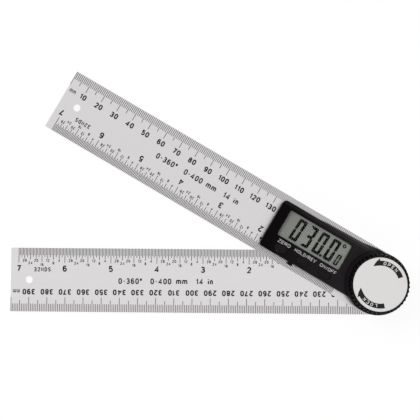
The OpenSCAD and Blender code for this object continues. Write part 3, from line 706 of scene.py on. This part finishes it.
cell_centre = turned([[-35.7, -2.3, 0.0]], OPENING)[0]
for names, finish in (
        (["lower_arm"], lower_steel),
        (["upper_arm"], upper_steel),
        (["pivot_post", "retaining_ring", "thrust_washer"], bright_steel),
        (["gap_washer", "disc_spring"], spring_steel),
        (["knob_insert"], machined_brass),
        (["hub_bush"], bush_white),
        (["rotor_carrier"], carrier_black),
        (["rotor_disc"], sensor_laminate("sensor_disc_laminate", 24)),
        (["circuit_board"], board_laminate("board_green_laminate")),
        (["housing_screws", "board_screws"],
         turned_metal("screw_steel", (0.55, 0.55, 0.56), 0.3, 3800.0)),
        (["dome_contacts", "battery_contact_positive", "battery_contact_negative"],
         turned_metal("contact_nickel", (0.66, 0.63, 0.58), 0.24, 3000.0)),
        (["coin_cell"],
         turned_metal("cell_steel_plated", (0.68, 0.68, 0.67), 0.25, 4600.0, cell_centre)),
        (["zebra_strip"], striped_rubber("strip_rubber_layers")),
        (["lcd_frame"], moulded("display_frame_black", (0.012, 0.012, 0.013), 0.5)),
        (["chip_cover"], moulded("chip_cover_resin", (0.008, 0.008, 0.009), 0.2, 1.5, 2e-5)),
        (["board_components"], moulded("component_body", (0.30, 0.21, 0.12), 0.45, 0.3))):
    for n in names:
        nodes[n].data.materials.clear()
        nodes[n].data.materials.append(finish)

# ---------------------------------------------------------------- scales on the rules

TICK = 0.16                        # half of a tick's width
EDGE_GAP = 0.04                    # bare steel between a tick and the rule's edge
INCH_ZERO = 17.9                   # the inch scale starts this far from the pivot

# Height, width and stroke of each size of type
METRIC_TYPE, INCH_TYPE, PART_TYPE = (3.15, 2.05, 0.72), (3.5, 2.35, 0.76), (1.65, 1.0, 0.33)
UNIT_TYPE, NOTE_TYPE, RANGE_TYPE = (2.5, 1.2, 0.36), (2.4, 1.5, 0.5), (3.25, 1.98, 0.66)

RANGES = "0-360\u00b0  0-400 mm  14 in"      # plain ranges of the tool's own scales


def ticks(marks, x, length, edge, towards):
    """A tick of its own length at each x, from an edge of the rule towards its middle."""
    start = edge + towards * EDGE_GAP + 0.0 * x
    stop = edge + towards * length
    marks.bars(x - TICK, x + TICK, np.minimum(start, stop), np.maximum(start, stop))


def metric_ticks(marks, edge, towards):
    """A tick each mm; every fifth is longer and every tenth the longest."""
    at = np.arange(-RULE_LENGTH, 1)
    length = np.select([at % n == 0 for n in (10, 5)], [7.9, 6.3], 4.3)
    ticks(marks, np.clip(at, -RULE_LENGTH + TICK + 0.02, None), length, edge, towards)


def inch_ticks(marks, edge, towards):
    """A tick each thirty-second of an inch, from near the pivot to seven inches on."""
    at = np.arange(0, 225)
    length = np.select([at % n == 0 for n in (32, 16, 8, 4, 2)], [8.2, 7.9, 6.5, 5.9, 5.0], 4.0)
    ticks(marks, -(INCH_ZERO + at * INCH / 32), length, edge, towards)


def inch_numbers(marks, edge, towards, turn):
    """Large inch numbers, and small numbers of thirty-seconds between them."""
    for inch in range(1, 8):
        x = -(INCH_ZERO + inch * INCH)
        marks.word(str(inch), (x, edge + towards * 11.3), *INCH_TYPE, turn)
    depths = {4: 6.9, 8: 8.3, 12: 6.9, 16: 9.2, 20: 6.9, 24: 8.3, 28: 6.9}
    for inch in range(0, 7):
        for part, deep in depths.items():
            x = -(INCH_ZERO + (inch + part / 32) * INCH)
            marks.word(str(part), (x, edge + towards * deep), *PART_TYPE, turn, 0.28, fine=2)


def rule_scale(face, side, numbers, deep, unit, ranges):
    """All marks of one rule whose metric edge is on the side +1 or -1 of its centre line.

    numbers are (value, x) and stand deep inside the metric edge, unit is the x and the
    depth of the metric unit, and ranges is the centre of the tool's ranges.
    """
    marks = Marks(face)
    metric, inch = side * RULE_HALF, -side * RULE_HALF
    metric_turn, inch_turn = (0.0, 180.0) if side > 0 else (180.0, 0.0)
    metric_ticks(marks, metric, -side)
    inch_ticks(marks, inch, side)
    inch_numbers(marks, inch, side, inch_turn)
    for value, x in numbers:
        marks.word(str(value), (x, metric - side * deep), *METRIC_TYPE, metric_turn, 0.42)
    marks.word("mm", (unit[0], metric - side * unit[1]), *UNIT_TYPE, metric_turn, 0.35)
    marks.word("32NDS", (-182.7, inch + side * 11.8), *NOTE_TYPE, inch_turn, 0.45)
    marks.word(RANGES, ranges, *RANGE_TYPE, gap=0.5)
    return marks


# Upper rule: mm numbers read from the square end, inch numbers stand upside down
upper = rule_scale(DECK, 1.0, [(v, v - 200.0) for v in range(10, 140, 10)], 10.65,
                   (-196.6, 10.5), (-112.6, RULE_HALF - 17.6))
upper.build("upper_scale", "upper_rule", scale_ink, "button_black", OPENING)

# Lower rule: the mm scale goes on from the pivot at 200 and is read from the far side
lower = rule_scale(LOWER_FACE, -1.0, [(v, 200.0 - v) for v in range(210, 400, 10)], 10.85,
                   (-196.9, 11.1), (-114.6, RULE_HALF - 17.9))
lower.build("lower_scale", "lower_rule", scale_ink, "button_black")

# ---------------------------------------------------------------- housing and its words

softened("housing_shell", "housing", "upper_rule", case_black, 0.35)
softened("tray_shell", "battery_tray", "tray", tray_black, 0.15)

WORD_ROW, WORD_HEIGHT, WORD_STROKE, WORD_GAP = -6.72, 1.75, 0.145, 0.5
words = Marks(HOUSING_TOP, 0.012, 0.02)
for text, x0, x1 in (("ZERO", -57.9, -50.6), ("HOLD/REV", -47.6, -34.8),
                     ("ON/OFF", -32.0, -22.3)):
    shares = sum(WIDTHS.get(c, 1.0) for c in text)
    words.word(text, ((x0 + x1) / 2, WORD_ROW), WORD_HEIGHT,
               (x1 - x0 - WORD_GAP * (len(text) - 1)) / shares, WORD_STROKE, gap=WORD_GAP)
words.build("housing_words", "upper_rule", white_ink, "label_grey", OPENING)

# ---------------------------------------------------------------- display

LENS_PLACE = (-40.9, 3.07)
PANEL_TOP = 9.45
MASK_LEVEL = 9.53                  # the mask is printed just under the window
points, faces = rounded_solid(
    [(19.75, 8.05, 0.35, 9.62), (19.8, 8.1, 0.4, 9.67), (19.8, 8.1, 0.4, 9.85),
     (19.75, 8.05, 0.35, 9.9), (19.1, 7.4, 0.5, 9.9), (19.1, 7.4, 0.5, 10.55),
     (19.06, 7.36, 0.46, 10.66), (18.95, 7.25, 0.35, 10.7)], LENS_PLACE, 6)
lens = piece("display_window", points, faces, "upper_rule", clear_plastic("window_acrylic"),
             30)
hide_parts("display_lens")

points, faces = rounded_solid(
    [(19.75, 8.05, 0.1, 8.3), (19.8, 8.1, 0.15, 8.35), (19.8, 8.1, 0.15, PANEL_TOP - 0.05),
     (19.75, 8.05, 0.1, PANEL_TOP)], LENS_PLACE, 3)
panel = piece("display_panel", points, faces, "upper_rule", display_film("display_grey_film"),
              30)
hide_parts("lcd_panel")

LIT = {"0": "abcdef", "3": "abcdg"}                  # segments that are on in a figure
SLANT = 0.058
LARGE, SMALL = (4.78, 12.5, 1.6), (2.45, 6.35, 0.92)   # a figure's width, height and stroke


def digit(marks, value, left, low, wide, high, t):
    """A seven-segment figure of stroke t, with blunt mitred corners and a notch at half height.

    Each segment is drawn upright from its corners and then leans: x + slant (y - low). Its
    halves stay n clear of half height, g is the gap at a mitre and c the corner cut off.
    """
    x0, x1, y1 = left, left + wide, low + high
    mid, h, n, g, c = low + high / 2, t / 2, 0.06, 0.015, 0.35 * t
    notch = n + (h if "g" in LIT[value] else 0.2 * t)
    upright = [(x0 + c / 2, y1 - c / 2 - g), (x0, y1 - c - g), (x0, mid + notch),
               (x0 + h, mid + n), (x0 + t, mid + notch), (x0 + t, y1 - t - g)]
    level = [(x0 + c / 2 + g, y1 - c / 2), (x0 + t + g, y1 - t), (x1 - t - g, y1 - t),
             (x1 - c / 2 - g, y1 - c / 2), (x1 - c - g, y1), (x0 + c + g, y1)]
    across = [(x0 + h, mid), (x0 + t, mid - h), (x1 - t, mid - h),
              (x1 - h, mid), (x1 - t, mid + h), (x0 + t, mid + h)]

    def flip(shape, sideways, down):
        return [(x0 + x1 - x if sideways else x, 2 * mid - y if down else y) for x, y in shape]

    shapes = {"a": (level, 0, 0), "b": (upright, 1, 0), "c": (upright, 1, 1),
              "d": (level, 0, 1), "e": (upright, 0, 1), "f": (upright, 0, 0),
              "g": (across, 0, 0)}
    for k in LIT[value]:
        shape, sideways, down = shapes[k]
        corners = [(x + SLANT * (y - low), y) for x, y in flip(shape, sideways, down)]
        marks.outline(corners, mirrored=sideways != down)


digits = Marks(PANEL_TOP, 0.01, 0.01)
for value, left in zip("0300", (-53.98, -46.95, -39.93, -32.91)):
    digit(digits, value, left, -3.12, *LARGE)
digit(digits, "0", -26.44, -3.15, *SMALL)
digits.outline([(-34.92, -3.2), (-33.52, -3.2), (-33.44, -1.8), (-34.84, -1.8)])
ring = np.linspace(0.0, 2 * math.pi, 21)[:-1]        # the degree sign
digits.ribbon(np.stack([-25.4 + 0.78 * np.cos(ring), 8.3 + 0.78 * np.sin(ring)], -1), 0.66, True)
digits.build("display_digits", "upper_rule", display_ink, "chip_black", OPENING)


def framed_mask():
    """Black print round the display: between a rounded outer and a rounded inner loop."""
    outer, inner = (np.stack(rounded_loop(hx, hy, r, LENS_PLACE, 6), -1)
                    for hx, hy, r in ((19.3, 7.7, 0.3), (18.9, 7.5, 0.9)))
    count = len(outer)
    i = np.arange(count)
    j = (i + 1) % count
    mask = Marks(MASK_LEVEL, 0.02, 0.02)
    mask.add(np.vstack([outer, inner]), np.stack([i, j, j + count, i + count], -1),
             [i, (i + count)[::-1]])
    mask.build("display_mask", "upper_rule", display_ink, "chip_black", OPENING)


framed_mask()

# ---------------------------------------------------------------- buttons

KEY_ROW = -10.3
KEY_FOOT, FLANGE, KEY_TOP = 8.0, 9.0, 11.3           # heights: stem, hidden flange, crown

for name, node, body, x in (("button_left", "zero_button", "zero_key", -54.55),
                            ("button_middle", "hold_button", "hold_key", -40.9),
                            ("button_right", "power_button", "power_key", -27.25)):
    points, faces = rounded_solid(
        [(1.1, 1.1, 1.1, KEY_FOOT), (1.2, 1.2, 1.2, KEY_FOOT + 0.1), (1.2, 1.2, 1.2, FLANGE),
         (4.45, 1.95, 1.95, FLANGE), (4.5, 2.0, 2.0, FLANGE + 0.05),
         (4.5, 2.0, 2.0, FLANGE + 0.75), (4.45, 1.95, 1.95, FLANGE + 0.8),
         (3.5, 2.0, 2.0, FLANGE + 0.8), (3.5, 2.0, 2.0, KEY_TOP - 0.4),
         (3.46, 1.96, 1.96, KEY_TOP - 0.26), (3.36, 1.86, 1.86, KEY_TOP - 0.14),
         (3.2, 1.7, 1.7, KEY_TOP - 0.06), (2.9, 1.4, 1.4, KEY_TOP - 0.02),
         (2.2, 0.7, 0.7, KEY_TOP)], (x, KEY_ROW), 8)
    key = piece(name, points, faces, body, key_black, 35)
    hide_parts(node)

# ---------------------------------------------------------------- knob and its label

RIBS, RIB_DEPTH = 40, 0.85
KNOB_FOOT, BOSS_FOOT, CEILING = 10.6, 11.3, 14.4     # heights of the knob's lower side
LABEL_SEAT, KNOB_TOP = 15.6, 16.0


def rib_depth(t):
    """Rounded grip ribs: depth (1 - s), s a smooth step up and down once in each pitch."""
    phase = np.abs(((t * RIBS / (2 * math.pi)) % 1.0) - 0.5) * 2.0
    up = np.clip((0.74 - phase) / 0.46, 0.0, 1.0)
    return RIB_DEPTH * (1.0 - up * up * (3.0 - 2.0 * up))


# From the label's seat over the rim, down the ribs, then under the skirt and round the boss
grip = [(16.1 - 0.35 * k / 6, 10.95 + 4.5 * k / 6, 0.95 - 0.1 * k / 6) for k in range(7)]
profile = ([(0.0, LABEL_SEAT, 0.0), (14.4, LABEL_SEAT, 0.0), (14.4, 15.85, 0.0)]
           + quarter(14.55, 15.85, 0.15, 180, 90, 4)
           + [(15.0, KNOB_TOP, 0.0), (15.42, 15.97, 0.5), (15.6, 15.87, 0.7),
              (15.72, 15.7, 0.83)]
           + grip[::-1]
           + [(16.05, 10.75, 0.9), (15.85, 10.62, 0.7), (15.55, KNOB_FOOT, 0.4),
              (14.0, KNOB_FOOT, 0.0), (13.85, 10.7, 0.0), (13.8, 10.9, 0.0),
              (13.8, CEILING, 0.0), (9.0, CEILING, 0.0), (9.0, BOSS_FOOT, 0.0),
              (6.52, BOSS_FOOT, 0.0), (6.52, CEILING, 0.0), (0.0, CEILING, 0.0)])
points, faces = lathed_solid(profile, RIBS * 20, rib_depth)
knob = piece("knob_grip", points, faces, "clamp_knob", knob_black, 32)
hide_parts("knob")

points, faces = lathed_solid(
    [(0.0, LABEL_SEAT, 0.0), (14.3, LABEL_SEAT, 0.0), (14.35, LABEL_SEAT + 0.05, 0.0)]
    + quarter(14.2, 15.72, 0.15, 0, 80, 5)
    + [(13.4, 15.885, 0.0), (9.0, 15.895, 0.0), (0.0, 15.9, 0.0)], 180)
disc = piece("knob_disc", points, faces, "clamp_knob", label_film("label_satin_film"),
             30)
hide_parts("knob_label")


BAND_INNER, BAND_OUTER = 10.05, 12.65
WRITING_RADIUS = 11.35
LABEL_TYPE = (1.75, 1.4, 0.31)


def arrow(marks, side):
    """A curved arrow: a band from 49 to 121 degrees and a head whose tip turns inwards.

    Its corners are (degrees, radius), and side -1 is the same arrow turned the other way.
    """
    t = np.linspace(49, 121, 24)
    head = [(120.5, 13.95), (130.5, 12.2), (141, 10.4), (134, 10.15), (127, BAND_INNER)]
    polar = [(a, BAND_OUTER) for a in t] + head + [(a, BAND_INNER) for a in t[::-1]]
    a, r = np.radians([p[0] for p in polar]) * side, np.array([p[1] for p in polar])
    ring, n = np.stack([r * np.cos(a), r * np.sin(a)], -1), len(t)
    last = len(polar) - 1
    tops = [[k, k + 1, last - k - 1, last - k] for k in range(n - 1)]
    tops.append(list(range(n - 1, n + len(head) + 1)))
    if side < 0:
        tops = [top[::-1] for top in tops]
    rim = list(range(len(polar)))
    marks.add(ring, tops, [rim if side > 0 else rim[::-1]])


bands = Marks(15.895, 0.012, 0.01)
arrow(bands, 1)
arrow(bands, -1)
bands.build("label_bands", "clamp_knob", band_ink, "chip_black", OPENING)
letters = Marks(15.905, 0.012, 0.008)
for text, turn in (("OPEN", 0.0), ("LOCK", 180.0)):
    letters.word(text, (0.0, 0.0), *LABEL_TYPE, turn, 0.98, fine=4, bend=WRITING_RADIUS)
letters.build("label_letters", "clamp_knob", label_ink, "label_grey", OPENING)

# ---------------------------------------------------------------- floor, light and camera


def staged_floor():
    """A large pale floor that camera rays see nearly white, with the object's soft shadow."""
    mesh = bpy.data.meshes.new("floor")
    size, drop = 6.0, -1e-4
    mesh.from_pydata([(-size, -size, drop), (size, -size, drop), (size, size, drop),
                      (-size, size, drop)], [], [(0, 1, 2, 3)])
    made, tree = shader("floor_white")
    rays = step(tree, "ShaderNodeLightPath").outputs
    side = step(tree, "ShaderNodeNewGeometry").outputs["Backfacing"]
    paint = step(tree, "ShaderNodeBsdfDiffuse", Color=(0.95, 0.95, 0.95, 1.0))
    glow = step(tree, "ShaderNodeEmission", Color=(1.0, 1.0, 1.0, 1.0), Strength=1.0)
    seen = step(tree, "ShaderNodeMixShader", i0=0.88, i1=paint.outputs[0], i2=glow.outputs[0])
    clear = step(tree, "ShaderNodeBsdfTransparent")
    front = maths(tree, "MULTIPLY", rays["Is Camera Ray"], maths(tree, "SUBTRACT", 1.0, side))
    both = step(tree, "ShaderNodeMixShader", i0=front, i1=clear.outputs[0], i2=seen.outputs[0])
    step(tree, "ShaderNodeOutputMaterial", Surface=both.outputs[0])
    mesh.materials.append(made)
    floor = in_scene("floor", mesh)


def white_world():
    """Even white surround: full white to the eye, in metal and through glass, softer as light."""
    world = bpy.data.worlds.new("studio")
    world.use_nodes = True
    tree = world.node_tree
    tree.nodes.clear()
    rays = step(tree, "ShaderNodeLightPath").outputs
    seen = maths(tree, "MAXIMUM", rays["Is Camera Ray"],
                 maths(tree, "MAXIMUM", rays["Is Glossy Ray"], rays["Is Transmission Ray"]))
    strength = ramp(tree, seen, 0.0, 1.0, 0.72, 1.0)
    back = step(tree, "ShaderNodeBackground", Color=(1.0, 1.0, 1.0, 1.0), Strength=strength)
    step(tree, "ShaderNodeOutputWorld", Surface=back.outputs[0])
    bpy.context.scene.world = world


def soft_lamp(name, place, aim, size, watts):
    """A square soft box at a place, turned to a point, both in metres."""
    lamp = bpy.data.lights.new(name, "AREA")
    lamp.shape, lamp.size, lamp.energy = "SQUARE", size, watts
    thing = in_scene(name, lamp)
    thing.location = place
    thing.visible_glossy = False
    thing.rotation_euler = (Vector(aim) - Vector(place)).to_track_quat("-Z", "Y").to_euler()


def photo_camera():
    """The camera of the photograph, a little off straight above; a point p is seen at V p + b."""
    tilt = [math.radians(a) for a in (-1.547, -0.522, -0.454)]
    view = (Matrix.Rotation(tilt[0], 3, "X") @ Matrix.Rotation(tilt[1], 3, "Y")
            @ Matrix.Rotation(tilt[2], 3, "Z"))
    back_off = Vector((90.16, -39.823, -390.0))
    optics = bpy.data.cameras.new("camera")
    optics.sensor_width = SENSOR
    optics.lens = FOCAL / FRAME_WIDTH * SENSOR
    optics.clip_start, optics.clip_end = 0.01, 50.0
    camera = in_scene("camera", optics)
    place = (view.transposed() @ -back_off + Vector((0.0, 0.0, LOWER_FACE))) * MM
    camera.matrix_world = Matrix.Translation(place) @ view.transposed().to_4x4()
    bpy.context.scene.camera = camera


FRAME_WIDTH, FOCAL = 420.0, 710.33                   # pixels
SENSOR = 36.0
MIDDLE = (-0.09, 0.03, 0.0)                          # of the object, in metres

staged_floor()
white_world()
soft_lamp("key_left", (-0.75, 0.55, 0.75), MIDDLE, 0.7, 6.0)
soft_lamp("fill_right", (0.65, -0.6, 0.6), MIDDLE, 0.8, 2.5)
photo_camera()
bpy.context.scene.view_settings.view_transform = "Standard"
